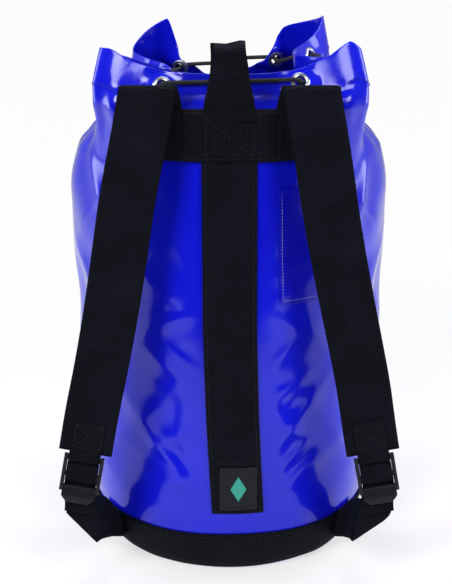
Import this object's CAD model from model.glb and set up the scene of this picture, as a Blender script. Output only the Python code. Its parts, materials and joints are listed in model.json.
"""A blue tarpaulin bag with webbing shoulder straps, a haul loop and a drawcord round its mouth.

The bag stands on z = 0 about the Z axis, half a metre tall. The strapped side is the near
side and faces -Y; the cord lock hangs on the far side (+Y). Left is -X and right is +X.
Shapes are worked out in millimetres. Angles on the wall run from -Y round by +X.
"""
import json
import math
import bmesh
import bpy
import numpy as np
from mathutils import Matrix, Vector


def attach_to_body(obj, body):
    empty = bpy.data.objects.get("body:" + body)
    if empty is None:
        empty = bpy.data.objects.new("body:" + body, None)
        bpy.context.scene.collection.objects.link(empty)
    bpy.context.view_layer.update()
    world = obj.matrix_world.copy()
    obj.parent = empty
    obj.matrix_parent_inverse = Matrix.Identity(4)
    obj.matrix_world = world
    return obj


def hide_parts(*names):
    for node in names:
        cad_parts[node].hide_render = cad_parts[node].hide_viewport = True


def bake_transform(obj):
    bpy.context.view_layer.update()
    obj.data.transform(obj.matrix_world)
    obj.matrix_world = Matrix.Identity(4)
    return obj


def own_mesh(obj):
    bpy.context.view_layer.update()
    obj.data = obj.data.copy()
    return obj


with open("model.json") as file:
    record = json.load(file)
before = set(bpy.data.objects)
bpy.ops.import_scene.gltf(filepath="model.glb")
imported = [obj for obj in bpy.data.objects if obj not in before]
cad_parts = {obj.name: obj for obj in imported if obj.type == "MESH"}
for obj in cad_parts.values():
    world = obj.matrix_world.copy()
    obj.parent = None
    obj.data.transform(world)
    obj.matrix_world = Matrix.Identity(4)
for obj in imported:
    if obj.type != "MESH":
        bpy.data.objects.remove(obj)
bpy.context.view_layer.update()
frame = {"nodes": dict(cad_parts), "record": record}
MM = 0.001
rng = np.random.default_rng(7)

# ------------------------------------------------------------------ driving dimensions (mm)
# The mouth in plan, from the near point round by +X: x, y, and the rim's height z.
MOUTH = np.array([
    (0, -124, 495), (32, -124, 495.5), (62, -121, 499), (92, -114, 508), (117, -107, 520.5),
    (126, -98, 512), (118, -88, 508), (100, -74, 502), (82, -58, 499), (68, -37, 497),
    (63, -18, 496), (68, 1, 497), (80, 20, 500), (93, 40, 509), (101, 57, 520), (94, 76, 514),
    (76, 91, 508), (58, 97, 502), (46, 88, 488), (26, 82, 464), (0, 80, 452), (-26, 81, 453),
    (-48, 84, 476), (-66, 91, 512), (-84, 76, 504), (-97, 44, 488), (-85, 13, 486),
    (-66, -9, 484), (-56, -24, 481), (-64, -42, 485), (-80, -60, 494), (-98, -76, 502),
    (-115, -90, 508), (-124, -99, 514), (-115, -108, 514.5), (-90, -115, 504),
    (-60, -121, 498), (-30, -124, 495.5)], float)
FAR = 20  # index of the mouth's far point

# Eyelets: centre x, y, z, then the direction of the hole's axis.
EYELETS = np.array([
    (63.0, -122.0, 489.0, 0.10, -0.83, 0.55), (83.0, -60.0, 485.0, 0.72, 0.66, 0.20),
    (80.0, 20.0, 486.5, 0.80, -0.52, 0.30), (48.0, 84.0, 471.0, -0.28, 0.93, 0.24),
    (-50.0, 82.0, 463.0, 0.30, 0.93, 0.20), (-65.0, -10.0, 472.0, -0.80, -0.52, 0.30),
    (-81.0, -60.0, 482.0, -0.72, 0.66, 0.20), (-60.0, -122.0, 485.5, -0.10, -0.83, 0.55)])

# Wall levels: z, the ellipse's half-width in x and in y, how far the plan has turned from
# ellipse to mouth (0..1), the mouth's scale, and its extra scale in y on the near side.
LEVELS = np.array([
    (2.0, 127.5, 127.5, 0.0, 1.0, 1.0), (14.0, 134.0, 134.0, 0.0, 1.0, 1.0),
    (44.0, 141.5, 141.5, 0.0, 1.0, 1.0), (100.0, 148.0, 143.0, 0.0, 1.0, 1.0),
    (200.0, 153.0, 142.0, 0.0, 1.0, 1.0), (300.0, 157.0, 141.0, 0.0, 1.0, 1.0),
    (360.0, 158.0, 140.0, 0.0, 1.0, 1.0), (405.0, 154.0, 139.0, 0.06, 1.0, 1.1),
    (435.0, 149.0, 138.0, 0.36, 1.03, 1.10), (460.0, 142.0, 137.0, 0.72, 1.03, 1.10),
    (471.0, 141.0, 137.0, 0.88, 1.015, 1.075), (484.0, 140.0, 137.0, 1.0, 1.0, 1.0),
    (521.0, 140.0, 137.0, 1.0, 0.93, 1.0)])
WALL_BOTTOM, WALL_TOP = LEVELS[0, 0], LEVELS[-1, 0]
ARC_RADIUS = 150.0   # turns an angle into a distance round the wall
HALF_GIRTH = 471.2
HEM_DEPTH = 33.0     # from the rim down to the hem's lower edge

WIDE_HALF = 25.0     # half-width of the wide webbing
TAPE_HALF = 15.0     # half-width of the narrow webbing
TAPE_THICK = 1.4
STRAP_SLOPE = 64.0 / 343.0   # sideways lean of a shoulder strap
STRAP_LEAN = math.atan(STRAP_SLOPE)
STRAP_FOLD_X, STRAP_FOLD_Z = 71.0, 490.0
ROOT_OFFSET = 1.25   # of a strap's middle off the wall, under the top band
BAND_TOP, BAND_BOTTOM, BAND_HALF = 467.0, 420.0, 95.0
LOCK_Y, LOCK_Z = 154.0, 392.0   # cord lock, on x = 0


# ------------------------------------------------------------------ curves
def unit(vectors):
    vectors = np.asarray(vectors, float)
    return vectors / np.maximum(np.linalg.norm(vectors, axis=-1, keepdims=True), 1e-12)


def smooth(x, start, end):
    """0 before start, 1 after end, eased between."""
    x = np.clip((np.asarray(x, float) - start) / (end - start), 0, 1)
    return x * x * (3 - 2 * x)


def run_length(points):
    """Distance along a polyline at each of its points."""
    steps = np.linalg.norm(np.diff(points, axis=0), axis=1)
    return np.concatenate([[0], np.cumsum(steps)])


def hermite(x, knots, values):
    """Cubic interpolation that never overshoots its knots."""
    slope = np.diff(values) / np.diff(knots)
    tangent = np.zeros_like(values)
    tangent[0], tangent[-1] = slope[0], slope[-1]
    for i in range(1, len(knots) - 1):
        before, after = slope[i - 1], slope[i]
        tangent[i] = 0 if before * after <= 0 else 2 * before * after / (before + after)
    x = np.clip(x, knots[0], knots[-1])
    i = np.clip(np.searchsorted(knots, x, side="right") - 1, 0, len(knots) - 2)
    gap = knots[i + 1] - knots[i]
    part = (x - knots[i]) / gap
    return ((2 * part ** 3 - 3 * part ** 2 + 1) * values[i]
            + (part ** 3 - 2 * part ** 2 + part) * gap * tangent[i]
            + (-2 * part ** 3 + 3 * part ** 2) * values[i + 1]
            + (part ** 3 - part ** 2) * gap * tangent[i + 1])


def interpolate(at, knots, vectors, method=np.interp):
    """Interpolate x, y and z, each by the same method."""
    return np.stack([method(at, knots, vectors[:, axis]) for axis in range(3)], -1)


def periodic_spline(knots, values, period):
    """A closed cubic spline through the values, as a function."""
    count = len(knots)
    gaps = np.diff(np.append(knots, knots[0] + period))
    matrix = np.zeros((count, count))
    change = np.zeros_like(values)
    for i in range(count):
        before, after = gaps[i - 1], gaps[i]
        following = (i + 1) % count
        matrix[i, i - 1] += before
        matrix[i, i] += 2 * (before + after)
        matrix[i, following] += after
        change[i] = 6 * ((values[following] - values[i]) / after
                         - (values[i] - values[i - 1]) / before)
    bend = np.linalg.solve(matrix, change)

    def evaluate(x):
        x = np.mod(x - knots[0], period) + knots[0]
        i = np.clip(np.searchsorted(knots, x, side="right") - 1, 0, count - 1)
        j = (i + 1) % count
        gap = gaps[i][..., None]
        done = (x - knots[i])[..., None]
        left = gap - done
        return ((bend[i] * left ** 3 + bend[j] * done ** 3) / (6 * gap)
                + (values[i] / gap - bend[i] * gap / 6) * left
                + (values[j] / gap - bend[j] * gap / 6) * done)
    return evaluate


def resample(path, step):
    """Even points along a path, about a step apart, and the distance at each."""
    run = run_length(path)
    keep = np.concatenate([[True], np.diff(run) > 1e-6])
    path, run = path[keep], run[keep]
    at = np.linspace(0, run[-1], max(2, int(round(run[-1] / step)) + 1))
    return interpolate(at, run, path), at


def rounded_path(points, radius, step):
    """A polyline with its corners turned smoothly, resampled."""
    points = [np.asarray(point, float) for point in points]
    out = [points[0]]
    for before, corner, after in zip(points, points[1:], points[2:]):
        length_in, length_out = np.linalg.norm(before - corner), np.linalg.norm(after - corner)
        cut = min(radius, 0.49 * length_in, 0.49 * length_out)
        start = corner + (before - corner) * cut / length_in
        end = corner + (after - corner) * cut / length_out
        for t in np.linspace(0, 1, 7):
            out.append((1 - t) ** 2 * start + 2 * t * (1 - t) * corner + t * t * end)
    out.append(points[-1])
    return resample(np.array(out), step)


# ------------------------------------------------------------------ the wall's form
def mouth_angles():
    """Angles of the mouth points: half a turn each side of the far point, even along the rim."""
    plan = MOUTH[:, :2]
    step = np.linalg.norm(np.roll(plan, -1, 0) - plan, axis=1)
    right, left = step[:FAR].sum(), step[FAR:].sum()
    run = np.concatenate([[0], np.cumsum(step)[:-1]])
    return np.where(np.arange(len(plan)) <= FAR,
                    np.pi * run / right, np.pi + np.pi * (run - right) / left)


MOUTH_ANGLES = mouth_angles()
mouth_xy = periodic_spline(MOUTH_ANGLES, MOUTH[:, :2], 2 * np.pi)


def rim_z(angle):
    """The rim's height round the mouth: straight runs between its corners, barely turned."""
    angle = np.mod(angle, 2 * np.pi)
    knots = np.concatenate([MOUTH_ANGLES - 2 * np.pi, MOUTH_ANGLES, MOUTH_ANGLES + 2 * np.pi])
    heights = np.tile(MOUTH[:, 2], 3)
    return 0.5 * hermite(angle, knots, heights) + 0.5 * np.interp(angle, knots, heights)


def base_wall(angle, z):
    """Points on the wall without its dents."""
    angle, z = np.broadcast_arrays(np.asarray(angle, float), np.asarray(z, float))
    half_x, half_y, turned, scale, swell = (
        hermite(z, LEVELS[:, 0], LEVELS[:, column]) for column in range(1, 6))
    # the mouth goes on closing above the last level
    scale = np.where(z > WALL_TOP, scale - (z - WALL_TOP) * 0.0018, scale)
    mouth = mouth_xy(angle)
    wrapped = np.mod(angle, 2 * np.pi)
    near = 1 - smooth(np.minimum(wrapped, 2 * np.pi - wrapped), 0.68, 1.10)
    x = (1 - turned) * half_x * np.sin(angle) + turned * scale * mouth[..., 0]
    y = (-(1 - turned) * half_y * np.cos(angle)
         + turned * scale * mouth[..., 1] * (1 + (swell - 1) * near))
    return np.stack([x, y, z], -1)


# Soft creases in the tarpaulin, the same on both sides but for their scatter:
# distance round the wall, z, direction in degrees, reach, depth.
WALL_CREASES = (
    (58, 392, 62, 48, 1.5), (74, 330, -40, 46, 1.9), (52, 286, 35, 40, 1.6),
    (86, 250, -58, 50, 2.2), (60, 214, 20, 44, 2.0), (92, 176, 48, 52, 2.6),
    (58, 150, -34, 42, 2.4), (78, 112, 28, 44, 2.6), (118, 132, -52, 50, 2.4),
    (54, 92, -12, 34, 1.8), (104, 74, 30, 38, 2.0), (130, 214, 66, 56, 2.2),
    (150, 300, -62, 60, 2.0), (170, 160, 38, 60, 2.6), (200, 240, -44, 66, 2.6),
    (235, 120, 40, 60, 2.6), (250, 320, 58, 70, 2.4), (300, 180, -36, 70, 2.8),
    (330, 280, 44, 70, 2.4), (380, 140, -50, 70, 2.6), (410, 250, 36, 74, 2.4))
SMALL_CREASES = (
    (46, 262, -38, 26, 2.2), (40, 226, 32, 24, 2.0), (54, 198, -20, 24, 2.0),
    (50, 312, 48, 26, 1.6), (66, 128, 40, 24, 2.0), (142, 372, 56, 40, 2.6),
    (166, 338, -48, 44, 2.6), (150, 258, 62, 38, 2.4), (130, 326, -64, 34, 2.2),
    (176, 284, 40, 42, 2.4))


def scattered(table, arc_scatter, z_scatter, degree_scatter, depth_scale):
    """The table's creases on both sides of the near line, each moved a little at random."""
    creases = []
    for side in (-1, 1):
        for arc, z, degrees, reach, depth in table:
            chance = rng.normal(0, 1, 5)
            creases.append((side * (arc + arc_scatter * chance[0]),
                            z + z_scatter * chance[1],
                            math.radians(side * degrees + degree_scatter * chance[2]),
                            reach * (1 + 0.1 * chance[3]),
                            depth_scale * depth * (1 + 0.15 * chance[4])))
    return creases


CREASES = scattered(WALL_CREASES, arc_scatter=5, z_scatter=8, degree_scatter=8, depth_scale=0.95)
CREASES += scattered(SMALL_CREASES, arc_scatter=3, z_scatter=6, degree_scatter=10, depth_scale=1)


def dents(angle, z):
    """How far the tarpaulin stands off the base wall."""
    angle = np.mod(np.asarray(angle, float) + np.pi, 2 * np.pi) - np.pi
    arc = angle * ARC_RADIUS
    height = np.zeros(np.broadcast(angle, z).shape)
    for crease_arc, crease_z, slant, reach, depth in CREASES:
        aside = np.mod(arc - crease_arc + HALF_GIRTH, 2 * HALF_GIRTH) - HALF_GIRTH
        above = z - crease_z
        along = aside * math.cos(slant) + above * math.sin(slant)
        across = -aside * math.sin(slant) + above * math.cos(slant)
        window = np.exp(-(along / reach) ** 2 - (across / (0.62 * reach)) ** 2)
        height += depth * window * (0.42 - np.sqrt((across / (0.3 * reach)) ** 2 + 0.010))
    # flat behind the strip, the band and the label, and still at the base seam
    calm = 1 - (1 - smooth(np.abs(arc - 3), 24, 62)) * (1 - smooth(z, 470, 480))
    calm = calm * smooth(z, 46, 96) * (1 - smooth(z, 395, 450))
    # coarse and fine gathers below the mouth, all but gone on the near side
    gathered = smooth(z, 375, 455) * (1 - smooth(z, 474, 500))
    near = np.exp(-(arc / 100.0) ** 4)
    coarse = np.sin(angle * 23 + 0.7 * np.sin(3 * angle)) * np.exp(-((z - 440) / 42.0) ** 2)
    fine = np.sin(angle * 41 + 1.3) * np.exp(-((z - 456) / 26.0) ** 2)
    gathers = gathered * (1 - 0.92 * near) * (1.9 * coarse + 1.1 * fine)
    # slow swell of the whole wall
    swell = (smooth(z, 60, 140) * (1 - smooth(z, 400, 450)) * calm
             * np.sin(2.6 * angle + z / 61.0) * np.cos(z / 83.0 - 1.3 * angle))
    return height * calm + gathers + swell


def normals(angle, z):
    """Outward normals of the base wall."""
    round_wall = base_wall(angle + 1e-3, z) - base_wall(angle - 1e-3, z)
    up_wall = base_wall(angle, z + 0.4) - base_wall(angle, z - 0.4)
    return unit(np.cross(round_wall, up_wall))


def off_base(angle, z, offset):
    return base_wall(angle, z) + normals(angle, z) * np.asarray(offset)[..., None]


def wall(angle, z, offset):
    """Points at an offset from the dented wall."""
    return off_base(angle, z, dents(angle, z) + offset)


# Lookup from x to angle on the near side, a row for every 3 mm of height.
LOOKUP_ANGLES = np.linspace(-1.9, 1.9, 381)
LOOKUP_BOTTOM, LOOKUP_STEP, LOOKUP_ROWS = 2.0, 3.0, 167
LOOKUP_Z = LOOKUP_BOTTOM + LOOKUP_STEP * np.arange(LOOKUP_ROWS)
LOOKUP_X = base_wall(LOOKUP_ANGLES[None, :], LOOKUP_Z[:, None])[..., 0]
# x may only rise with the angle, working out from the middle
LOOKUP_X[:, 190:] = np.maximum.accumulate(LOOKUP_X[:, 190:], axis=1)
LOOKUP_X[:, :191] = np.minimum.accumulate(LOOKUP_X[:, 190::-1], axis=1)[:, ::-1]


def angle_at(x, z):
    """The angle on the near side at which the wall passes x, at a height."""
    x, z = np.broadcast_arrays(np.asarray(x, float), np.asarray(z, float))
    angle = np.zeros(x.shape)
    row = np.clip((z - LOOKUP_BOTTOM) / LOOKUP_STEP, 0, LOOKUP_ROWS - 1)
    below = np.floor(row).astype(int)
    above = np.minimum(below + 1, LOOKUP_ROWS - 1)
    part = row - below
    for index in np.ndindex(x.shape):
        low = np.interp(x[index], LOOKUP_X[below[index]], LOOKUP_ANGLES)
        high = np.interp(x[index], LOOKUP_X[above[index]], LOOKUP_ANGLES)
        angle[index] = low * (1 - part[index]) + high * part[index]
    return angle


# ------------------------------------------------------------------ materials
MATERIALS = {}


class NodeNet:
    """Adds nodes to an emptied node tree and links them."""

    def __init__(self, tree):
        tree.nodes.clear()
        self.tree = tree

    def feed(self, socket, value):
        """Link a socket to the input, or set its value; None leaves it alone."""
        if value is None:
            return
        if isinstance(value, bpy.types.NodeSocket):
            self.tree.links.new(value, socket)
        elif isinstance(value, tuple):
            socket.default_value = (*value, 1)[:len(socket.default_value)]
        else:
            socket.default_value = value

    def fill(self, node, inputs):
        for key, value in inputs.items():
            self.feed(node.inputs[key], value)

    def node(self, kind, inputs=None, **settings):
        node = self.tree.nodes.new("ShaderNode" + kind)
        for key, value in settings.items():
            setattr(node, key, value)
        self.fill(node, inputs or {})
        return node

    def calc(self, operation, first, second=None, clamp=False):
        node = self.node("Math", {0: first, 1: second}, operation=operation, use_clamp=clamp)
        return node.outputs[0]

    def plus(self, first, second):
        return self.calc("ADD", first, second)

    def times(self, first, second):
        return self.calc("MULTIPLY", first, second)

    def wave(self, distance, period):
        return self.calc("SINE", self.times(distance, 2 * math.pi / period))

    def to_unit(self, height):
        """Brings -1..1 to 0..1."""
        return self.calc("ADD", self.times(height, 0.5), 0.5, clamp=True)

    def noise(self, vector, scale, detail=3.0, rough=0.5):
        return self.node("TexNoise", {"Scale": scale, "Detail": detail, "Roughness": rough,
                                      "Vector": vector}).outputs[0]

    def ramp(self, factor, stops):
        """A colour ramp; a stop is a position and a colour or a grey."""
        node = self.node("ValToRGB", {0: factor})
        elements = node.color_ramp.elements
        while len(elements) < len(stops):
            elements.new(0.5)
        for element, (position, tone) in zip(elements, stops):
            element.position = position
            element.color = (*tone, 1) if isinstance(tone, tuple) else (tone, tone, tone, 1)
        return node.outputs[0]

    def mask(self, factor, black, white):
        return self.ramp(factor, [(black, 0), (white, 1)])

    def mix(self, factor, first, second, mode="MIX"):
        return self.node("Mix", {0: factor, 6: first, 7: second},
                         data_type="RGBA", blend_type=mode).outputs[2]

    def bump(self, height, strength, distance, over=None):
        return self.node("Bump", {"Strength": strength, "Distance": distance,
                                  "Height": height, "Normal": over}).outputs[0]

    def position(self):
        return self.node("TexCoord").outputs["Object"]

    def split(self, vector):
        return self.node("SeparateXYZ", {"Vector": vector}).outputs

    def uv_mm(self):
        """The UV map, and its u and v."""
        uv = self.node("UVMap", uv_map="mm").outputs[0]
        parts = self.split(uv)
        return uv, parts[0], parts[1]


def new_net(name):
    MATERIALS[name] = bpy.data.materials.new(name)
    MATERIALS[name].use_nodes = True
    return NodeNet(MATERIALS[name].node_tree)


def new_material(name):
    net = new_net(name)
    output = net.node("OutputMaterial")
    shader = net.node("BsdfPrincipled")
    net.feed(output.inputs[0], shader.outputs[0])
    return net, shader


def scaled(colour, gain, add=0.0):
    return tuple(min(1, gain * channel + add) for channel in colour)


def pvc(name, colour, deep, rough=0.3, coat=1.0):
    """Glossy coated tarpaulin, clouded between two blues, with pale scuffs."""
    net, shader = new_material(name)
    position = net.position()
    uv, u, v = net.uv_mm()
    cloud = net.noise(position, scale=9.0)
    fine = net.noise(position, scale=420.0, detail=2.0)
    tone = net.mix(net.mask(cloud, black=0.3, white=0.72), colour, deep)
    # scuffs: short streaks, more of them low down
    streaks = net.node("Mapping", {"Scale": (1.0, 5.5, 1.0), "Rotation": (0, 0, 0.5),
                                   "Vector": uv}).outputs[0]
    scuff = net.mask(net.noise(streaks, scale=0.055, detail=6.0, rough=0.72),
                     black=0.60, white=0.70)
    low = net.ramp(net.times(v, 0.004), [(0.0, 0.5), (0.8, 0.12)])
    wear = net.times(scuff, low)
    tone = net.mix(net.times(wear, 0.16), tone, (0.22, 0.24, 0.62))
    roughness = net.plus(net.times(cloud, 0.10), rough - 0.05)
    roughness = net.plus(roughness, net.times(wear, 0.22))
    roughness = net.plus(roughness, net.times(fine, 0.03))
    coat_roughness = net.plus(net.times(wear, 0.10), 0.035)
    # the scrim's weave, the coating's orange peel over it, then a fine grain
    scrim_pitch = 1.05
    weave = net.times(net.wave(u, scrim_pitch), net.wave(v, scrim_pitch))
    scrim = net.bump(weave, strength=0.06, distance=0.00012)
    peel = net.bump(net.noise(position, scale=30.0, detail=1.0, rough=0.4),
                    strength=0.07, distance=0.0016, over=scrim)
    grain = net.bump(net.noise(position, scale=150.0, detail=2.0),
                     strength=0.10, distance=0.0003, over=peel)
    net.fill(shader, {
        "Base Color": tone, "Roughness": roughness, "Specular IOR Level": 0.08,
        "Coat Weight": coat, "Coat Roughness": coat_roughness, "Coat IOR": 1.38,
        "Normal": grain, "Coat Normal": peel})


def webbing(name, pitch=2.5, warp_pitch=1.6, runs_along_v=True):
    """Black webbing: weft ribs at a pitch along it, crossed by warp ends that dip in turn."""
    dark, light = (0.0009, 0.0010, 0.0024), (0.0066, 0.0069, 0.0120)
    worn, fuzz_tone = (0.00858, 0.00897, 0.0162), (0.030, 0.030, 0.038)
    net, shader = new_material(name)
    _, u, v = net.uv_mm()
    along, side = (v, u) if runs_along_v else (u, v)
    position = net.position()
    wobble = net.noise(position, scale=60.0, detail=2.0)
    along = net.plus(along, net.times(wobble, 0.35))
    rib = net.wave(along, pitch)
    warp = net.wave(side, warp_pitch)
    over = net.calc("SINE", net.plus(net.times(along, math.pi / pitch),
                                     net.times(side, math.pi / warp_pitch)))
    # shares of rib, warp and the slanting over-and-under
    height = net.plus(net.times(rib, 0.55), net.plus(net.times(warp, 0.18),
                                                     net.times(over, 0.27)))
    raised = net.to_unit(height)
    fuzz = net.noise(position, scale=900.0, rough=0.6)
    patches = net.noise(position, scale=24.0, detail=4.0, rough=0.6)
    tone = net.mix(net.mask(raised, black=0.38, white=0.92), dark, light)
    tone = net.mix(net.times(net.mask(patches, black=0.42, white=0.75), 0.35), tone, worn)
    tone = net.mix(net.times(net.mask(fuzz, black=0.62, white=0.8), 0.30), tone, fuzz_tone)
    roughness = net.plus(net.times(patches, 0.14), 0.65)
    woven = net.bump(height, strength=0.85, distance=0.00032)
    fuzzy = net.bump(fuzz, strength=0.25, distance=0.00012, over=woven)
    uneven = net.bump(patches, strength=0.15, distance=0.0010, over=fuzzy)
    net.fill(shader, {
        "Base Color": tone, "Roughness": roughness, "Normal": uneven,
        "Sheen Weight": 0.015, "Sheen Roughness": 0.4, "Sheen Tint": (0.75, 0.78, 0.95),
        "Specular IOR Level": 0.085, "Specular Tint": (0.72, 0.76, 1.0)})


def plastic(name, colour, rough=0.42):
    """Moulded plastic, paler on its edges and where it is smeared."""
    net, shader = new_material(name)
    position = net.position()
    pointiness = net.node("NewGeometry").outputs["Pointiness"]
    edge = net.mask(pointiness, black=0.50, white=0.60)
    grain = net.noise(position, scale=1500.0, detail=2.0)
    smear = net.noise(position, scale=70.0, detail=4.0, rough=0.6)
    tone = net.mix(net.times(edge, 0.55), colour, scaled(colour, 3.0, add=0.008))
    tone = net.mix(net.times(net.mask(smear, black=0.5, white=0.8), 0.25),
                   tone, scaled(colour, 2, add=0.004))
    roughness = net.plus(net.times(smear, 0.22), rough - 0.1)
    grained = net.bump(grain, strength=0.22, distance=0.00008)
    net.fill(shader, {
        "Base Color": tone, "Roughness": roughness,
        "Specular IOR Level": 0.26, "Specular Tint": (0.84, 0.86, 1.0),
        "Normal": net.bump(smear, strength=0.10, distance=0.0004, over=grained)})


def metal(name, colour, rough):
    net, shader = new_material(name)
    position = net.position()
    fine = net.noise(position, scale=700.0, detail=4.0, rough=0.6)
    blots = net.noise(position, scale=120.0, rough=0.55)
    tone = net.mix(net.mask(blots, black=0.4, white=0.75), colour, scaled(colour, 0.62))
    net.fill(shader, {
        "Base Color": tone, "Metallic": 1.0,
        "Roughness": net.plus(net.times(fine, 0.2), rough - 0.08),
        "Normal": net.bump(fine, strength=0.15, distance=0.00006)})


def braid(name):
    """Round braided cord: two sets of strands winding opposite ways."""
    dark, light = (0.005, 0.005, 0.007), (0.020, 0.020, 0.026)
    strands, pitch = 6, 2.6   # round the cord, and mm along it
    net, shader = new_material(name)
    _, u, v = net.uv_mm()
    windings = [
        net.calc("SINE", net.calc(operation, net.times(u, 2 * math.pi * strands),
                                  net.times(v, 2 * math.pi / pitch)))
        for operation in ("ADD", "SUBTRACT")]
    height = net.times(*windings)
    raised = net.to_unit(height)
    fuzz = net.noise(net.position(), scale=1200.0, rough=0.6)
    tone = net.mix(raised, dark, light)
    tone = net.mix(net.times(fuzz, 0.35), tone, light)
    braided = net.bump(height, strength=0.8, distance=0.0003)
    net.fill(shader, {
        "Base Color": tone, "Roughness": 0.6, "Specular IOR Level": 0.25,
        "Sheen Weight": 0.05,
        "Normal": net.bump(fuzz, strength=0.3, distance=0.0001, over=braided)})


def thread(name, colour):
    net, shader = new_material(name)
    position = net.position()
    fibre = net.noise(position, scale=2500.0, rough=0.6)
    patches = net.noise(position, scale=90.0, detail=2.0)
    tone = net.mix(fibre, scaled(colour, 0.6), scaled(colour, 1.3))
    tone = net.mix(net.times(patches, 0.35), tone, scaled(colour, 0.5))
    net.fill(shader, {
        "Base Color": tone, "Roughness": 0.5, "Specular IOR Level": 0.2,
        "Sheen Weight": 0.03, "Normal": net.bump(fibre, strength=0.4, distance=0.0001)})


def rubber(name, colour, light):
    net, shader = new_material(name)
    position = net.position()
    grain = net.noise(position, scale=1800.0, detail=2.0)
    smear = net.noise(position, scale=130.0, detail=4.0, rough=0.6)
    net.fill(shader, {
        "Base Color": net.mix(net.mask(smear, black=0.45, white=0.8), colour, light),
        "Roughness": net.plus(net.times(smear, 0.2), 0.48),
        "Specular IOR Level": 0.22,
        "Normal": net.bump(grain, strength=0.35, distance=0.0001)})


pvc("pvc_blue", colour=(0.004, 0.008, 0.60), deep=(0.003, 0.005, 0.50))
pvc("pvc_pocket", colour=(0.005, 0.006, 0.50), deep=(0.004, 0.004, 0.42), rough=0.34, coat=0.6)
pvc("pvc_base", colour=(0.010, 0.011, 0.42), deep=(0.006, 0.007, 0.30), rough=0.34, coat=0.35)
webbing("webbing_wide")
webbing("webbing_cross", runs_along_v=False)
webbing("webbing_narrow", pitch=2.0, warp_pitch=1.3)
plastic("moulded_plastic", colour=(0.0036, 0.0036, 0.0056))
plastic("button_plastic", colour=(0.012, 0.012, 0.014), rough=0.36)
metal("spring_steel", colour=(0.62, 0.62, 0.64), rough=0.22)
metal("eyelet_metal", colour=(0.60, 0.62, 0.66), rough=0.30)
braid("braided_cord")
thread("thread_black", colour=(0.0055, 0.0055, 0.0080))
thread("thread_blue", colour=(0.012, 0.014, 0.22))
thread("thread_pale", colour=(0.20, 0.22, 0.62))
rubber("patch_rubber", colour=(0.0050, 0.0055, 0.0105), light=(0.0085, 0.0095, 0.0160))
rubber("patch_raised", colour=(0.035, 0.30, 0.235), light=(0.05, 0.36, 0.28))

# the CAD pieces wear the same materials
CAD_SLOTS = {part["node"]: part["material_slot"] for part in frame["record"]["subparts"]}
for node_name, cad_object in frame["nodes"].items():
    cad_object.data.materials.clear()
    cad_object.data.materials.append(MATERIALS[CAD_SLOTS[node_name]])


# ------------------------------------------------------------------ mesh helpers
def link_object(name, data):
    obj = bpy.data.objects.new(name, data)
    bpy.context.scene.collection.objects.link(obj)
    return obj


def mesh_object(name, points, faces, uv=None):
    """A smooth-shaded object from points in mm, with an optional UV per point."""
    mesh = bpy.data.meshes.new(name)
    mesh.from_pydata((np.asarray(points, float).reshape(-1, 3) * MM).tolist(), [],
                     [tuple(int(i) for i in face) for face in faces])
    if uv is not None:
        layer = mesh.uv_layers.new(name="mm")
        index = np.zeros(len(mesh.loops), np.int64)
        mesh.loops.foreach_get("vertex_index", index)
        layer.data.foreach_set("uv", uv.reshape(-1, 2)[index].astype(np.float32).ravel())
    bm = bmesh.new()
    bm.from_mesh(mesh)
    bmesh.ops.recalc_face_normals(bm, faces=bm.faces)
    bm.to_mesh(mesh)
    bm.free()
    mesh.polygons.foreach_set("use_smooth", [True] * len(mesh.polygons))
    mesh.update()
    return link_object(name, mesh)


def attach(obj, material, body="bag", blend=None, replaces=()):
    """blend is two bodies and the two points (mm) between which the piece passes over.
    """
    obj.data.materials.clear()
    obj.data.materials.append(MATERIALS[material])
    if blend:
        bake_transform(obj)
    else:
        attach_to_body(obj, body)
    if replaces:
        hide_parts(*replaces)


def grid_faces(rows, cols, start=0, wrap_cols=False, wrap_rows=False, flip=False):
    faces = []
    for r in range(rows if wrap_rows else rows - 1):
        for c in range(cols if wrap_cols else cols - 1):
            r2, c2 = (r + 1) % rows, (c + 1) % cols
            face = (start + r * cols + c, start + r * cols + c2,
                    start + r2 * cols + c2, start + r2 * cols + c)
            faces.append(face[::-1] if flip else face)
    return faces


def sheet(name, angle, z, bottom, top, across, edge):
    """A closed layer on the wall between two offsets; edge is how much its border thins."""
    rows, cols = angle.shape
    count = rows * cols
    index = np.arange(count).reshape(rows, cols)
    border = np.concatenate([index[0], index[1:, -1], index[-1, -2::-1], index[-2:0:-1, 0]])
    thinned = np.zeros((rows, cols))
    thinned.flat[border] = 1
    outside = wall(angle, z, bottom + (top - bottom) * (1 - edge * thinned))
    inside = wall(angle, z, bottom)
    faces = grid_faces(rows, cols) + grid_faces(rows, cols, count, flip=True)
    for a, b in zip(border, np.roll(border, -1)):
        faces.append((b, a, count + a, count + b))
    uv = np.stack([across, z], -1)
    return mesh_object(name, np.stack([outside, inside]), faces, np.stack([uv, uv]))


def edged(count, pad):
    """0..1 with two close stations at each end, so that edges stay crisp."""
    return np.concatenate([[0, pad], np.linspace(0, 1, count)[1:-1], [1 - pad, 1]])


def near_sheet(name, x_range, z_range, counts, pads, offsets, edge=0.4,
               shift=lambda z: 0.0, bulge=lambda s, r: 0.0):
    """A layer on the near side. Pairs are in x and z order; shift moves it in x with height,
    and bulge(s, r) adds thickness at 0..1 across and up."""
    s, r = np.meshgrid(edged(counts[0], pads[0]), edged(counts[1], pads[1]))
    z = z_range[0] + (z_range[1] - z_range[0]) * r
    x = x_range[0] + shift(z) + (x_range[1] - x_range[0]) * s
    return sheet(name, angle_at(x, z), z, offsets[0], offsets[1] + bulge(s, r), x, edge)


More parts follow.
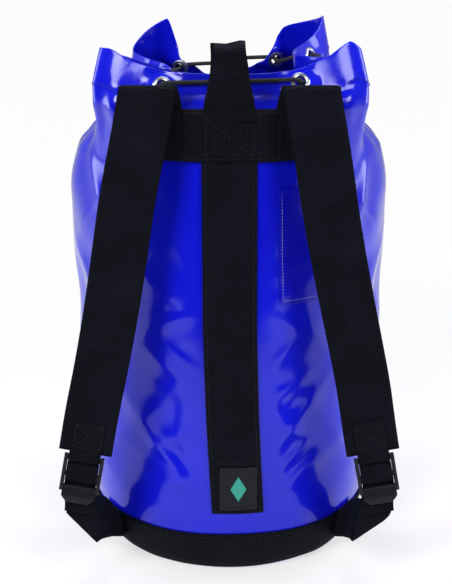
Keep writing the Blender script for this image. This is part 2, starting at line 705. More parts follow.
def ribbon(name, path, across, half, thick, cols, shear=0.0, fold=0.0):
    """A band along a path. across is its width direction, shear slants the weave in its UV
    map, and fold lifts its middle."""
    rows = len(path)
    across = unit(np.broadcast_to(across, (rows, 3)))
    normal = unit(np.cross(across, unit(np.gradient(path, axis=0))))
    half, shear, fold = (np.broadcast_to(value, rows)[:, None] for value in (half, shear, fold))
    stations = np.linspace(-1, 1, cols)
    face = np.ones(cols)
    face[[0, -1]] = 0.55   # thinner selvedges
    face *= thick / 2
    aside = np.concatenate([stations, stations[::-1]]) * half
    lift = np.concatenate([face, -face]) + fold * (1 - np.abs(aside) / half)
    points = (path[:, None] + across[:, None] * aside[..., None]
              + normal[:, None] * lift[..., None])
    uv = np.stack([aside, run_length(path)[:, None] + shear * aside], -1)
    around = 2 * cols
    faces = grid_faces(rows, around, wrap_cols=True)
    for start, flip in ((0, 1), ((rows - 1) * around, -1)):
        for c in range(cols - 1):
            cap = (start + c, start + c + 1, start + around - 2 - c, start + around - 1 - c)
            faces.append(cap[::flip])
    return mesh_object(name, points, faces, uv)


def tube(name, path, radius, sides, closed=False):
    count = len(path)
    if closed:
        tangent = unit(np.roll(path, -1, 0) - np.roll(path, 1, 0))
    else:
        tangent = unit(np.gradient(path, axis=0))
    upright = abs(tangent[0][2]) >= 0.9
    reference = np.array([1.0, 0, 0]) if upright else np.array([0.0, 0.0, 1.0])
    # carry one side direction along the path without twisting
    side = unit(np.cross(tangent[0], reference))
    first = [side]
    for i in range(1, count):
        side = unit(side - tangent[i] * (side @ tangent[i]))
        first.append(side)
    first = np.array(first)
    second = np.cross(tangent, first)
    turn = np.linspace(0, 2 * np.pi, sides, endpoint=False)
    radius = np.broadcast_to(radius, count)[:, None, None]
    points = path[:, None] + radius * (np.cos(turn)[None, :, None] * first[:, None]
                                       + np.sin(turn)[None, :, None] * second[:, None])
    uv = np.stack(np.broadcast_arrays(turn / (2 * np.pi), run_length(path)[:, None]), -1)
    faces = grid_faces(count, sides, wrap_cols=True, wrap_rows=closed)
    if not closed:
        faces += [tuple(range(sides))[::-1], tuple((count - 1) * sides + k for k in range(sides))]
    return mesh_object(name, points, faces, uv)


STITCH_FILL = 0.72   # share of the pitch that a stitch takes up
STITCH_AT = np.array([0, 0.14, 0.5, 0.86, 1.0])
STITCH_RISE = np.array([-0.45, 0.0, 0.12, 0.0, -0.45])
STITCH_GIRTH = np.array([0.55, 0.95, 1.0, 0.95, 0.55])


def stitches(name, runs, pitch, radius, material, lift=0.12, body="bag"):
    """Short plump threads along seams; a run is the seam's points and their normals."""
    points, faces = [], []
    rings, sides = len(STITCH_AT), 6
    turn = np.linspace(0, 2 * np.pi, sides, endpoint=False)
    wide = 1.15 * np.cos(turn)[None, :, None]
    high = 0.9 * np.sin(turn)[None, :, None]
    girth = radius * STITCH_GIRTH[:, None, None]
    for path, normal in runs:
        run = run_length(path)
        count = int(run[-1] // pitch)
        spacing = run[-1] / count
        for k in range(count):
            at = (k + 0.5 - STITCH_FILL / 2 + STITCH_FILL * STITCH_AT) * spacing
            up = unit(interpolate(at, run, normal))
            centre = interpolate(at, run, path) + up * (lift + STITCH_RISE)[:, None]
            side = unit(np.cross(unit(np.gradient(centre, axis=0)), up))
            base = rings * sides * len(points)
            points.append(centre[:, None] + girth * (wide * side[:, None] + high * up[:, None]))
            last = base + (rings - 1) * sides
            faces += grid_faces(rings, sides, base, wrap_cols=True)
            faces += [tuple(range(base, base + sides))[::-1], tuple(range(last, last + sides))]
    attach(mesh_object(name, np.array(points), faces), material, body)


def wall_run(angle, z, offset):
    return wall(angle, z, offset), normals(angle, z)


def near_run(x, z, offset):
    """A seam on the near side."""
    return wall_run(angle_at(x, z), z, offset)


# ------------------------------------------------------------------ tarpaulin body
def eyelet_reach(points, eyelet):
    """Height along an eyelet's axis, distance from the axis, and the axis."""
    axis = unit(eyelet[3:])
    away = points - eyelet[:3]
    height = away @ axis
    return height, np.linalg.norm(away - height[..., None] * axis, axis=-1), axis


def tarpaulin_body():
    """One skin up the outside, over the rim and down the inside, holed at the eyelets."""
    cols = 512
    angle = np.linspace(0, 2 * np.pi, cols, endpoint=False)
    rim = rim_z(angle)
    shoulder = 405.0   # level rows below, rows that rise to the rim above
    level = WALL_BOTTOM + (shoulder - WALL_BOTTOM) * np.linspace(0, 1, 96)[:, None]
    rising = shoulder + (rim - shoulder) * np.linspace(0, 1, 52)[1:, None]
    outer_z = np.vstack([level * np.ones(cols), rising])
    hem = rim - HEM_DEPTH
    outer_offset = (-0.55 * (1 - smooth(outer_z, hem - 0.7, hem + 0.7))
                    * smooth(outer_z, 60, 80))
    lip = ((0.45, -0.15), (0.75, -0.65), (0.45, -1.15))   # rise over the rim, offset
    z = np.vstack([outer_z, *(rim + rise for rise, _ in lip), outer_z[::-1]])
    offset = np.vstack([outer_offset, *(np.full(cols, off) for _, off in lip),
                        np.full(outer_z.shape, -1.30)])
    inner = np.arange(len(z))[:, None] >= len(outer_z) + 2
    points = wall(angle[None, :], z, offset)
    # flatten the cloth round each eyelet
    for eyelet in EYELETS:
        height, reach, axis = eyelet_reach(points, eyelet)
        weight = (1 - smooth(reach, 9.8, 22.0)) * (1 - smooth(np.abs(height), 7, 15))
        target = np.where(inner, -1.22, 0.0)
        points = points + (weight * (target - height))[..., None] * axis
    faces = grid_faces(len(z), cols, wrap_cols=True, wrap_rows=True)
    centres = points.reshape(-1, 3)[np.array(faces)].mean(1)
    keep = np.ones(len(faces), bool)
    for eyelet in EYELETS:
        height, reach, _ = eyelet_reach(centres, eyelet)
        keep &= ~((reach < 5.5) & (np.abs(height) < 3.5))
    faces = [face for face, kept in zip(faces, keep) if kept]
    uv = np.stack([np.broadcast_to(angle * ARC_RADIUS, z.shape), z], -1)
    body = mesh_object("tarpaulin_body", points, faces, uv)
    attach(body, "pvc_blue", replaces=("body_shell",))


def body_seams():
    """The hem's stitching, and the lapped seam up the far side."""
    angle = np.linspace(0, 2 * np.pi, 900)
    stitches("hem_stitching", [wall_run(angle, rim_z(angle) - HEM_DEPTH + 2.2, 0.15)],
             pitch=4.4, radius=0.38, material="thread_blue")
    seam_angle, seam_radius = np.pi + 0.34, 141.0
    z = np.linspace(50, 440, 140)
    lap_angle, lap_z = np.meshgrid(
        seam_angle + np.array([-7.5, -7.4, 7.4, 7.5]) / seam_radius, z)
    lap = sheet("side_seam_lap", lap_angle, lap_z, -0.4, 0.45, lap_angle * ARC_RADIUS, edge=0.45)
    attach(lap, "pvc_blue")
    runs = [wall_run(seam_angle + aside / seam_radius, z, 0.55) for aside in (-5.2, 5.2)]
    stitches("side_seam_stitching", runs, pitch=4.4, radius=0.36,
             material="thread_blue")


def base_binding():
    """Webbing round the foot of the bag, wavy at its lower edge and lower at the sides."""
    cols = 360
    angle = np.linspace(0, 2 * np.pi, cols, endpoint=False)
    wave = 1.3 * np.sin(5 * angle + 0.6) + 0.9 * np.sin(11 * angle + 2.0) + 0.5 * np.sin(23 * angle)
    side_dip = 5.0
    top = 45.5 + 0.5 * np.sin(7 * angle + 1) - side_dip * np.sin(angle) ** 2
    bottom = 1.9 + 0.9 * (wave * 0.5 + 0.8)
    # section: share of the height, offset from the wall
    section = np.array([(0, 0.35), (0, 1.6), (0.02, 2.0)]
                       + [(share, 2.05) for share in np.linspace(0.06, 0.94, 14)]
                       + [(0.98, 2.0), (1, 1.6), (1, 0.35)])
    z = bottom + (top - bottom) * section[:, :1]
    offset = section[:, 1:] * np.ones(cols)
    offset[1:-1] += 0.35 * np.sin(9 * angle + 1.0) * (1 - smooth(z[1:-1], 3, 24))
    faces = grid_faces(len(section), cols, wrap_cols=True, wrap_rows=True)
    uv = np.stack([np.broadcast_to(angle * 143, z.shape), z], -1)
    binding = mesh_object("base_binding_webbing", off_base(angle[None, :], z, offset), faces, uv)
    attach(binding, "webbing_cross", replaces=("base_binding",))
    angle = np.linspace(0, 2 * np.pi, 1000)
    dip = side_dip * np.sin(angle) ** 2
    runs = [(off_base(angle, z, 2.1), normals(angle, z)) for z in (41.3 - dip, 37.6 - dip, 9.5)]
    stitches("binding_stitching", runs, pitch=3.4, radius=0.33,
             material="thread_black")


# ------------------------------------------------------------------ pieces on the near side
def strip_middle(z):
    return np.interp(z, [69, 110, 170, 260, 470], [8.5, 6.2, 3.2, 0.6, 0.0])


def back_strip():
    strip = near_sheet("back_strip_webbing", (-WIDE_HALF, WIDE_HALF), (69, 465),
                       counts=(12, 140), pads=(0.012, 0.004), offsets=(0.1, 1.95),
                       shift=strip_middle)
    attach(strip, "webbing_wide", replaces=("back_strip",))
    z = np.linspace(70.5, 419, 160)
    x = np.linspace(-21, 21, 20)
    runs = [near_run(strip_middle(z) + aside, z, 2.02) for aside in (-21.5, 21.5)]
    runs += [near_run(middle + x, height, 2.02) for middle, height in ((8.4, 71.6), (7.2, 124))]
    stitches("back_strip_stitching", runs, pitch=3.4, radius=0.3, lift=0.05,
             material="thread_black")


def top_band():
    """The band over the strap roots and the haul loop's root."""
    root_x = 64.0   # middle of a strap's root

    def bulge(s, r):
        from_root = np.abs(s - 0.5) * 2 * BAND_HALF - root_x
        return 0.55 * np.exp(-(from_root / 20.0) ** 2) + 0.25 * np.sin(s * 31)

    band = near_sheet("top_band_webbing", (-BAND_HALF, BAND_HALF), (BAND_BOTTOM, BAND_TOP),
                      counts=(60, 12), pads=(0.004, 0.012), offsets=(2.25, 4.0), bulge=bulge)
    attach(band, "webbing_cross", replaces=("top_band",))
    seam_x, seam_low, seam_high = BAND_HALF - 2.5, BAND_BOTTOM + 3.2, BAND_TOP - 3.2
    x = np.linspace(-seam_x, seam_x, 80)
    z = np.linspace(seam_low, seam_high, 14)
    runs = [near_run(x, height, 4.15) for height in (seam_high, seam_low)]
    runs += [near_run(end_x, z, 4.2) for end_x in (-seam_x, 4 - seam_x, seam_x - 4, seam_x)]
    # crossed boxes: middle, half-width, offset
    for middle, half, offset in ((-root_x, 20, 4.35), (0, 21, 4.1), (root_x, 20, 4.35)):
        cross_z = np.linspace(BAND_BOTTOM + 6, BAND_TOP - 6, 24)
        for sign in (-1, 1):
            runs.append(near_run(middle + sign * np.linspace(-half, half, 24), cross_z, offset))
        for box_x in (middle - half, middle + half):
            runs.append(near_run(box_x, z, offset))
    stitches("top_band_stitching", runs, pitch=3.2, radius=0.3, lift=0.05,
             material="thread_black")


def document_pocket():
    """A leaning patch on the right, bulged towards its open top."""
    bottom, top = 282, 393

    def shift(z):
        return -(z - bottom) * 0.026

    def bulge(s, r):
        across = np.sin(np.pi * s)
        ripple = np.sin(9 * s + 5 * r) * across * np.sin(np.pi * r)
        return 1.7 * smooth(r, 0.72, 1.0) * across ** 0.7 + 0.25 * ripple

    pocket = near_sheet("document_pocket_patch", (47, 110), (bottom, top), counts=(36, 44),
                        pads=(0.006, 0.006), offsets=(-0.35, 0.55), edge=0.3,
                        shift=shift, bulge=bulge)
    attach(pocket, "pvc_pocket", replaces=("document_pocket",))
    seam_bottom = bottom + 3.5
    z = np.linspace(seam_bottom, 391, 60)
    runs = [near_run(x + shift(z), z, 0.62) for x in (50.2, 106.8)]
    runs.append(near_run(np.linspace(50.0, 106.5, 40), seam_bottom, 0.62))
    stitches("pocket_stitching", runs, pitch=3.2, radius=0.34, lift=0.05,
             material="thread_pale")


def label_patch():
    """A rubber patch with a raised rim and a ribbed lozenge."""
    left, right, bottom, top = -9.0, 26.5, 74.0, 119.5

    def rim_bulge(s, r):
        from_side = np.minimum(s, 1 - s) * (right - left)
        from_end = np.minimum(r, 1 - r) * (top - bottom)
        return 0.55 * np.exp(-((np.minimum(from_side, from_end) - 1.9) / 0.75) ** 2)

    patch = near_sheet("label_patch_rubber", (left, right), (bottom, top), counts=(64, 76),
                       pads=(0.006, 0.005), offsets=(2.0, 3.3), edge=0.3, bulge=rim_bulge)
    attach(patch, "patch_rubber", replaces=("label_patch",))
    # the lozenge narrows to its upper and lower points; a groove runs up its middle
    s, r = np.meshgrid(np.linspace(-1, 1, 25), np.linspace(-1, 1, 41))
    aside = s * (7.6 * (1 - np.abs(r)) + 0.05)
    x, z = 8.8 + aside, 96.8 + r * 13.2
    groove = 0.595 * np.exp(-(aside / 0.7) ** 2) * (np.abs(r) < 0.72)
    height = 3.55 + 0.85 * (1 - np.abs(s) ** 3) * (1 - np.abs(r) ** 5) - groove
    lozenge = sheet("patch_lozenge_raised", angle_at(x, z), z, 3.2, height, x, edge=0.5)
    attach(lozenge, "patch_raised", replaces=("patch_lozenge",))
    inset = 3.6
    x = np.linspace(left + inset, right - inset, 20)
    z = np.linspace(bottom + inset, top - inset, 26)
    runs = [near_run(x, height, 3.4) for height in (bottom + inset, top - inset)]
    runs += [near_run(side_x, z, 3.4) for side_x in (left + inset, right - inset)]
    stitches("patch_stitching", runs, pitch=2.6, radius=0.26, lift=0.02,
             material="thread_black")


# ------------------------------------------------------------------ shoulder straps
# Paths are laid out for the right side and mirrored in x for the left (sign -1).
STRAP_END = np.array([136.3, -166.7, 139.8])   # where the right strap meets its adjuster
# the adjuster's own x and z, turned with the strap's lean
ADJUSTER_X = np.array([math.cos(STRAP_LEAN), 0, math.sin(STRAP_LEAN)])
ADJUSTER_Z = np.array([-math.sin(STRAP_LEAN), 0, math.cos(STRAP_LEAN)])
STRAP_PHASE = {"left": 0.4, "right": 2.1}   # of the strap's wander

# Lower webbing from the adjuster strand over a slanting fold to the binding:
# outer edge x, y, z, inner edge x, y, z, shear of the weave.
LOWER_STATIONS = {
    "left": [
        (155.0, -160.5, 88.0, 125.0, -160.5, 88.0, 0.0),
        (155.6, -160.7, 84.5, 124.6, -160.4, 70.0, -0.5),
        (156.0, -161.2, 80.5, 127.6, -160.6, 47.5, -1.0),
        (153.5, -158.0, 78.8, 127.0, -158.6, 46.8, -1.0),
        (139.0, -138.0, 82.0, 125.6, -154.0, 46.0, 0.0),
        (124.5, -112.0, 72.0, 117.6, -122.0, 32.0, 0.0)],
    "right": [
        (155.0, -160.5, 88.0, 125.0, -160.5, 88.0, 0.0),
        (155.2, -160.0, 80.5, 122.4, -160.2, 69.0, -0.4),
        (151.0, -159.0, 72.5, 119.4, -158.0, 47.5, -0.8),
        (148.6, -155.6, 70.4, 119.0, -155.8, 46.2, -0.8),
        (136.0, -136.0, 78.0, 118.0, -148.0, 44.0, 0.0),
        (123.0, -111.0, 68.5, 115.2, -120.0, 30.5, 0.0)]}


def at_adjuster(y, z, x=0.0):
    """A point in the adjuster's frame, placed in the bag's."""
    return (STRAP_END + np.asarray(x)[..., None] * ADJUSTER_X
            + np.asarray(z)[..., None] * ADJUSTER_Z
            + np.asarray(y)[..., None] * np.array([0, 1.0, 0]))


def mirrored(points, sign):
    return points * np.array([sign, 1, 1])


def side_ribbon(name, sign, path, across, half, thick, cols, shear=0.0):
    return ribbon(name, mirrored(path, sign), across * np.array([1, sign, sign]),
                  half, thick, cols, shear=sign * shear)


def side_tape(name, sign, path, thick=TAPE_THICK):
    return side_ribbon(name, sign, path, ADJUSTER_X, TAPE_HALF, thick, cols=9)


def root_x(z):
    return STRAP_FOLD_X - (STRAP_FOLD_Z - z) * STRAP_SLOPE


def press_root(strap):
    """Curve the strap's root across its width onto the wall."""
    points = np.zeros(len(strap.data.vertices) * 3)
    strap.data.vertices.foreach_get("co", points)
    points = points.reshape(-1, 3) / MM
    under = (points[:, 1] > -147) & (points[:, 2] < 473)
    x, z = points[under, 0], points[under, 2]
    wall_z = np.clip(z, 2, 466)
    own = wall(angle_at(x, wall_z), wall_z, ROOT_OFFSET)[:, 1]
    middle = wall(angle_at(root_x(z), wall_z), wall_z, ROOT_OFFSET)[:, 1]
    points[under, 1] += (own - middle) * (1 - smooth(z, 466, 473))
    strap.data.vertices.foreach_set("co", (points * MM).ravel())
    strap.data.update()


def shoulder_strap(side, sign, body):
    """Up the wall under the band, over a fold, and down to the adjuster."""
    z = np.linspace(424, 466, 10)
    y = wall(angle_at(root_x(z), z), z, ROOT_OFFSET)[:, 1]
    # y, z from the band over the fold to the strap's end
    course = list(zip(y, z)) + [
        (-137.3, 471.5), (-146.3, 490.3), (-152.8, 490.3), (-154.0, 478), (-158.5, 430),
        (-161, 360), (-161.5, 280), (-164, 200), (-166.3, 160), (-166.8, 146.5)]
    path, run = rounded_path([(0, y, z) for y, z in course], 2.4, 2.5)
    z = path[:, 2]
    past = run - run[np.argmax(z)]   # distance past the fold
    down = past > 0
    drop = (STRAP_FOLD_Z - z) * STRAP_SLOPE
    phase = STRAP_PHASE[side]
    wander = smooth(past, 30, 120) * (1 - smooth(run, run[-1] - 80, run[-1]))
    path[:, 0] = (STRAP_FOLD_X + np.where(down, 1, -1) * drop
                  + wander * 1.6 * np.sin(past / 52.0 + phase))
    path[:, 1] -= wander * 1.5 * np.sin(past / 38.0 + phase * 1.7)
    # the strap turns square to its own lean near the end
    tilt = STRAP_LEAN * smooth(run, run[-1] - 95, run[-1] - 20)
    across = unit(np.stack([np.cos(tilt), wander * 0.075 * np.sin(past / 61.0 + phase),
                            np.sin(tilt)], -1))
    shear = np.where(down, 1, -1) * np.sin(STRAP_LEAN - tilt) * (1 - np.exp(-(past / 4.0) ** 2))
    strap = side_ribbon("shoulder_strap_%s_webbing" % side, sign, path, across,
                        WIDE_HALF / np.cos(STRAP_LEAN - tilt), 2.0, cols=15, shear=shear)
    press_root(strap)
    attach(strap, "webbing_wide", blend=("bag", body, (0, -137.6, 0), (0, -141.8, 0)),
           replaces=("shoulder_strap_" + side, "strap_root_" + side))


def buckle_loop(side, sign, body):
    """Tape sewn to both faces of the strap's end, round the adjuster's bar."""
    course = ((0.15, 39.0), (-1.75, 8.0), (-3.5, 1.5), (-3.2, -2.2), (0.0, -3.8),
              (3.2, -2.2), (3.5, 1.5), (2.5, 8.0), (3.75, 39.0))
    path, _ = rounded_path([at_adjuster(y, z) for y, z in course], 2.2, 0.9)
    loop = side_tape("buckle_loop_%s_tape" % side, sign, path, thick=1.2)
    attach(loop, "webbing_narrow", body=body, replaces=("buckle_loop_" + side,))
    # a crossed box: start x, z, end x, z, points
    half, low, high = 12.5, 12, 35
    runs = []
    for x0, z0, x1, z1, count in (
            (-half, low, -half, high, 12), (half, low, half, high, 12),
            (-half, low, half, low, 12), (-half, high, half, high, 12),
            (half, low, -half, high, 16), (-half, low, half, high, 16)):
        x, z = np.linspace(x0, x1, count), np.linspace(z0, z1, count)
        y = np.interp(z, [8, 39], [-1.75, 0.15]) - 0.66
        runs.append((mirrored(at_adjuster(y, z, x), sign),
                     np.broadcast_to(np.array([0, -1.0, 0]), (count, 3))))
    stitches("strap_end_stitching_" + side, runs, pitch=2.8, radius=0.3, lift=0.05,
             material="thread_black", body=body)


def adjuster_webbing(side, sign, body):
    """The threaded part with its free tail, and the loaded strand below the adjuster."""
    adjuster = "buckle_" + side
    course = ((3.6, -20.0), (3.3, -16.0), (3.4, -8.0), (1.2, -4.9), (-2.8, -5.6), (-3.9, -9.5),
              (-3.7, -13.0), (-3.6, -21.4), (2.9, -27.0), (3.2, -34.0), (2.2, -46.0),
              (1.0, -58.0))
    path, run = rounded_path([at_adjuster(y, z) for y, z in course], 2.0, 0.8)
    # the tail's end hangs plumb and curls towards -Y
    path[:, 0] -= 4.6 * smooth(run, run[-1] - 30, run[-1])
    path[:, 1] -= 1.2 * smooth(run, run[-1] - 26, run[-1])
    tail = side_tape("adjuster_tail_%s_tape" % side, sign, path)
    attach(tail, "webbing_narrow", body=adjuster, replaces=("adjuster_webbing_" + side,))
    course = [at_adjuster(y, z) for y, z in ((3.6, -20.0), (4.9, -25.0), (5.9, -32.0))]
    path, _ = rounded_path(course + [(140.9, -160.8, 98.0), (140.0, -160.5, 87.6)], 5, 1.2)
    strand = side_tape("adjuster_strand_%s_tape" % side, sign, path)
    attach(strand, "webbing_narrow",
           blend=(body, adjuster, mirrored(at_adjuster(6.2, -46.0), sign),
                  mirrored(at_adjuster(5.0, -23.0), sign)))


def lower_webbing(side, sign, body):
    """From the strand down over the fold, then in and round the foot of the wall."""
    stations = list(LOWER_STATIONS[side])
    for degrees in (50.0, 56.0, 62.0):
        x, y = math.sin(math.radians(degrees)), -math.cos(math.radians(degrees))
        stations.append((145.2 * x, 145.2 * y, 46.5, 138.0 * x, 138.0 * y, 17.0, 0.0))
    stations = np.array(stations)
    middle = (stations[:, :3] + stations[:, 3:6]) / 2
    knots = run_length(middle)
    _, run = resample(middle, 1.0)
    outer = interpolate(run, knots, stations[:, :3], hermite)
    inner = interpolate(run, knots, stations[:, 3:6], hermite)
    tape = side_ribbon("lower_webbing_%s_tape" % side, sign, (outer + inner) / 2,
                       unit(outer - inner), np.linalg.norm(outer - inner, axis=1) / 2,
                       TAPE_THICK, cols=11, shear=np.interp(run, knots, stations[:, 6]))
    attach(tape, "webbing_narrow",
           blend=("bag", body, mirrored(middle[-1], sign), mirrored(middle[0], sign)),
           replaces=("lower_webbing_" + side,))


# ------------------------------------------------------------------ haul loop
def haul_loop():
    """A loop standing up from under the band, narrowed and folded towards its top."""
    course = ((-141.1, 456.0), (-140.7, 463.0), (-139.9, 470.0), (-143.5, 500), (-146, 530.0),
              (-168, 527.0), (-162.0, 498), (-144.6, 471.5), (-142.3, 464.5), (-142.6, 457.0))
    path, run = rounded_path([(0, y, z) for y, z in course], 8, 1.6)
    z = path[:, 2]
    near = run > run[np.argmax(z)]   # the half nearer -Y
    half = np.interp(z, [441, 468, 476, 500, 518, 532], [23, 23, 22.0, 16.5, 14.0, 13.6])
    path[:, 0] = np.where(near, 1.5, -1.5) * smooth(z, 480, 520) - 1.5 * smooth(z, 505, 530)
    across = np.stack([np.ones(len(z)), 0.10 * np.sin((z - 470) / 22.0),
                       0.08 * smooth(z, 480, 530)], -1)
    fold = np.where(near, 1, 0.6) * 3.4 * smooth(z, 476, 505)
    loop = ribbon("haul_loop_webbing", path, across, half, 1.8, cols=15, fold=fold)
    attach(loop, "webbing_wide", replaces=("haul_loop",),
           blend=("bag", "haul_loop", (0, -144, 466.0), (0, -144, 475.0)))


# ------------------------------------------------------------------ drawcord
CORD_SPREAD = 4.3   # of a cord end from the lock's middle


def through(eyelet, *distances):
    """Points on an eyelet's axis at distances from its centre."""
    return [tuple(EYELETS[eyelet, :3] + d * unit(EYELETS[eyelet, 3:])) for d in distances]


def lock_run(sign, top):
    """A cord end's way up through the lock."""
    outer, inner = LOCK_Y + sign * CORD_SPREAD, LOCK_Y + sign * 2.5
    return [(0, outer, 320.2), (0, outer, 327.0), (0, inner, 337.0), (0, inner, top)]


def drawcord():
    """From the lock round each side of the mouth, in and out of the eyelets."""
    left = [
        *lock_run(-1, 413.0), (-0.6, LOCK_Y - 5.0, 430.0), (-2.0, 128.0, 449.0),
        (-4.0, 99.0, 464.0), (-12.0, 91.0, 466.0), (-40.0, 90.0, 465.0), *through(4, 6.0, -6.0),
        (-57.0, 58.0, 465.0), (-57.0, 12.0, 469.5), *through(5, -6.5, 6.5),
        (-77.0, -32.0, 479.0), (-84.5, -52.5, 482.8), (-77.5, -67.5, 481.2),
        (-67.0, -98.0, 481.0), *through(7, -6.5, 6.5), (-40.0, -126.8, 489.0),
        (0.0, -126.6, 489.9)]
    right = [
        *lock_run(1, 417.0), (0.6, LOCK_Y, 437.0), (2.0, 132.0, 455.0), (4.0, 101.0, 469.0),
        (12.0, 92.5, 471.0), (38.0, 92.0, 472.0), *through(3, 6.0, -6.0), (56.0, 62.0, 474.0),
        (70.5, 38.0, 484.0), *through(2, -6.5, 6.5), (88.5, -4.0, 489.0),
        (88.5, -34.0, 488.0), (86.8, -52.5, 486.2), (79.2, -67.5, 483.8),
        (69.5, -98.0, 484.4), *through(0, -6.5, 6.5), (43.0, -126.8, 491.0)]
    corners = np.array(left + right[::-1])
    middles = (corners[1:] + corners[:-1]) / 2
    path = [corners[0]]
    for start, corner, end in zip(middles, corners[1:], middles[1:]):
        for t in np.linspace(0, 1, 12):
            path.append((1 - t) ** 2 * start + 2 * t * (1 - t) * corner + t * t * end)
    path.append(corners[-1])
    path, _ = resample(np.array(path), 1.2)
    attach(tube("drawcord_braid", path, 2.0, sides=14), "braided_cord", replaces=("drawcord",))


def cord_ends():
    """A trefoil knot and a tail with a swollen tip on each cord end."""
    turn = np.linspace(0, 2 * np.pi, 90, endpoint=False)
    size = 1.55
    trefoil = np.stack([size * (np.sin(turn) + 1.15 * np.sin(2 * turn)) * 0.95,
                        size * (np.cos(turn) - 1.15 * np.cos(2 * turn)) * 0.60,
                        1.9 * np.sin(3 * turn)], -1)
    for number, sign in ((1, -1), (2, 1)):
        y = LOCK_Y + sign * CORD_SPREAD
        knot = tube("cord_knot_%d" % number, trefoil + np.array([0, y + sign * 0.6, 316.0]),
                    1.55, sides=10, closed=True)
        attach(knot, "braided_cord", replaces=("cord_end_knots",) if number == 1 else ())
        path, _ = rounded_path([(0, y, 320), (0, y, 312), (sign * 1.5, y, 299.5)], 5, 1.0)
        radius = np.where(np.arange(len(path)) > len(path) - 4, 2.15, 1.9)
        attach(tube("cord_tail_%d" % number, path, radius, sides=12), "braided_cord")


def lock_spring():
    """The cord lock's spring along x, which shortens as the button goes in."""
    pitch, radius = 1.62, 4.6
    turn = np.linspace(0, 2 * np.pi * 6.6 / pitch, 200)
    path = np.stack([-12.1 + pitch * turn / (2 * np.pi), LOCK_Y + radius * np.cos(turn),
                     LOCK_Z + radius * np.sin(turn)], -1)
    spring = tube("cord_lock_spring_coil", path, 0.4, sides=10)
    attach(spring, "spring_steel", body="cord_lock", replaces=("cord_lock_spring",))
    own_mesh(spring)


# ------------------------------------------------------------------ build, in slot order
tarpaulin_body()
body_seams()
base_binding()
back_strip()
top_band()
document_pocket()
label_patch()
for side_name, side_sign in (("left", -1), ("right", 1)):
    for build in (shoulder_strap, buckle_loop, adjuster_webbing, lower_webbing):
        build(side_name, side_sign, "strap_" + side_name)
haul_loop()
drawcord()
cord_ends()
lock_spring()


# ------------------------------------------------------------------ stage, light, camera (m)
def floor_material():
    """Pale to the camera; to other rays it falls dark beyond a hard edge on the near side."""
    net = new_net("floor_pale")
    output = net.node("OutputMaterial")
    diffuse = net.node("BsdfDiffuse")
    emission = net.node("Emission")
    mixer = net.node("MixShader")
    position = net.split(net.node("NewGeometry").outputs["Position"])
    x, y = position[0], position[1]
    camera_ray = net.node("LightPath").outputs["Is Camera Ray"]
    distance = net.calc("SQRT", net.plus(net.times(x, x), net.times(y, y)))
    away = net.ramp(net.times(distance, 0.5), [(0.12, 0.55), (0.45, 0.97)])
    # the dark edge, at about y = -0.7 and slightly askew
    depth = net.plus(y, net.times(x, 0.10))
    lit = net.ramp(net.plus(net.times(depth, 0.25), 0.5), [(0.316, 0.02), (0.328, 1)])
    tone = net.mix(camera_ray, lit, (1.0, 1.0, 1.0))
    net.feed(diffuse.inputs[0], net.mix(1.0, (0.88, 0.88, 0.89), tone, "MULTIPLY"))
    dimmed = net.mix(1.0, lit, (0.75, 0.75, 0.75), "MULTIPLY")
    net.fill(emission, {0: (1, 1, 1), 1: net.mix(camera_ray, dimmed, (0.995, 0.995, 0.995))})
    # share of emission: 0.22, and to the camera more with distance
    other_share = 0.22
    share = net.plus(net.times(camera_ray, net.calc("SUBTRACT", away, other_share)), other_share)
    net.fill(mixer, {0: share, 1: diffuse.outputs[0], 2: emission.outputs[0]})
    net.feed(output.inputs[0], mixer.outputs[0])
    return MATERIALS["floor_pale"]


def build_floor():
    reach = 30
    mesh = bpy.data.meshes.new("floor")
    mesh.from_pydata([(-reach, -reach, 0), (reach, -reach, 0), (reach, reach, 0),
                      (-reach, reach, 0)], [], [(0, 1, 2, 3)])
    floor = link_object("floor", mesh)
    mesh.materials.append(floor_material())


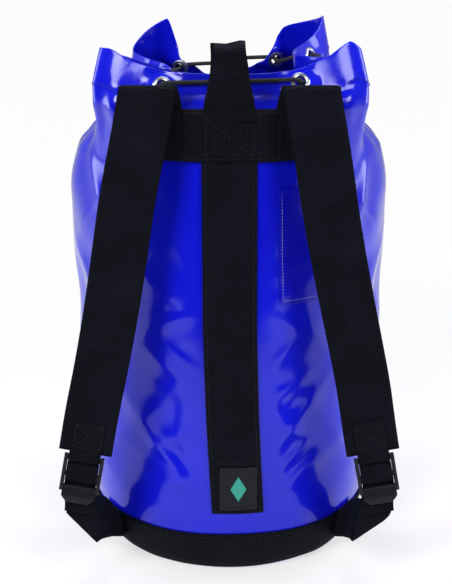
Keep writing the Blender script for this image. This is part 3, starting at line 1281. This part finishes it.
def build_world():
    """A near-white backdrop to the camera; a dimmer room, darkest towards -Y, to the rest."""
    world = bpy.context.scene.world or bpy.data.worlds.new("studio")
    bpy.context.scene.world = world
    world.use_nodes = True
    net = NodeNet(world.node_tree)
    output = net.node("OutputWorld")
    backdrop = net.node("Background", {"Color": (0.96, 0.965, 0.97), "Strength": 1.0})
    room = net.node("Background", {"Strength": 0.34})
    ray = net.node("LightPath")
    direction = net.node("SeparateXYZ")
    net.feed(direction.inputs[0], net.node("TexCoord").outputs["Generated"])
    net.feed(room.inputs["Color"], net.ramp(
        net.plus(net.times(direction.outputs[1], 0.5), 0.5),
        [(0.0, (0.10, 0.11, 0.14)), (0.30, (0.12, 0.13, 0.16)), (0.46, (0.42, 0.44, 0.50)),
         (0.62, (0.85, 0.87, 0.95)), (1.0, (0.95, 0.96, 1.0))]))
    mixer = net.node("MixShader", {0: ray.outputs["Is Camera Ray"], 1: room.outputs[0],
                                   2: backdrop.outputs[0]})
    net.feed(output.inputs[0], mixer.outputs[0])


def area_light(name, place, target, size, power, colour=(1, 1, 1)):
    light = bpy.data.lights.new(name, "AREA")
    light.shape = "RECTANGLE"
    light.size, light.size_y = size
    light.energy = power
    light.color = colour
    obj = link_object(name, light)
    obj.location = place
    aim = Vector(target) - Vector(place)
    obj.rotation_euler = aim.to_track_quat("-Z", "Y").to_euler()


def build_lights():
    key_target, edge_target = (0, 0, 0.26), (0, 0, 0.28)
    area_light("key_left", (-0.95, -1.35, 1.30), key_target, size=(0.6, 0.8), power=25)
    area_light("key_right", (1.05, -1.25, 1.10), key_target, size=(0.6, 0.8), power=17)
    for name, x in (("edge_left", -1.15), ("edge_right", 1.15)):
        area_light(name, (x, 0.15, 0.55), edge_target, size=(0.40, 0.9), power=6.5,
                   colour=(0.93, 0.94, 1.0))
    area_light("top", (0.0, 0.15, 1.9), (0, 0, 0.4), size=(1.0, 0.8), power=16)


def build_camera():
    """On the near side, looking along +Y and a little down."""
    scene = bpy.context.scene
    scene.view_settings.view_transform = "Standard"
    scene.view_settings.look = "None"
    lens = bpy.data.cameras.new("camera")
    camera = link_object("camera", lens)
    camera.location = (-0.003, -1.38, 0.74)
    camera.rotation_euler = (math.radians(90 - 19.66), 0, 0)
    lens.lens = 88.09
    lens.sensor_width = 36
    lens.sensor_fit = "AUTO"
    lens.clip_start, lens.clip_end = 0.05, 100
    scene.camera = camera


build_floor()
build_world()
build_lights()
build_camera()
